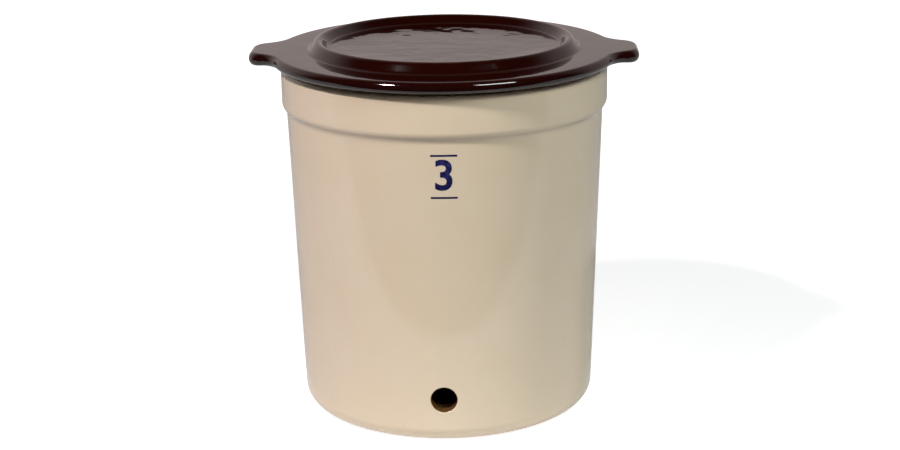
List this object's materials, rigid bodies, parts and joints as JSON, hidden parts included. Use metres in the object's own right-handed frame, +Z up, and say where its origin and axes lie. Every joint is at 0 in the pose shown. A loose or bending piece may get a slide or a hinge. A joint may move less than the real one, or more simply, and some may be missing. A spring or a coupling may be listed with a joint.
{
  "type": "beverage crock",
  "caption": "Tapered stoneware drinks crock with a collar band, an open spigot hole low in its front wall and a loose eared lid with a raised ring.",
  "frame": {"origin": "centre of the foot, on the surface the crock stands on", "axes": "+Z up, -Y out of the spigot hole at the front, X along the two ears of the lid"},
  "size_m": [0.321, 0.285, 0.3105],
  "materials": {
    "cream_glaze": "glossy cream glaze over stoneware, brown glaze inside",
    "brown_glaze": "glossy dark brown glaze over stoneware"
  },
  "bodies": {
    "crock": {"crock": "cream_glaze"},
    "lid": {"lid": "brown_glaze"}
  },
  "joints": [
    {"name": "lid_lift", "type": "slide", "parent": "crock", "child": "lid", "axis": [0, 0, 1], "range_m": [0, 0.26]}
  ]
}
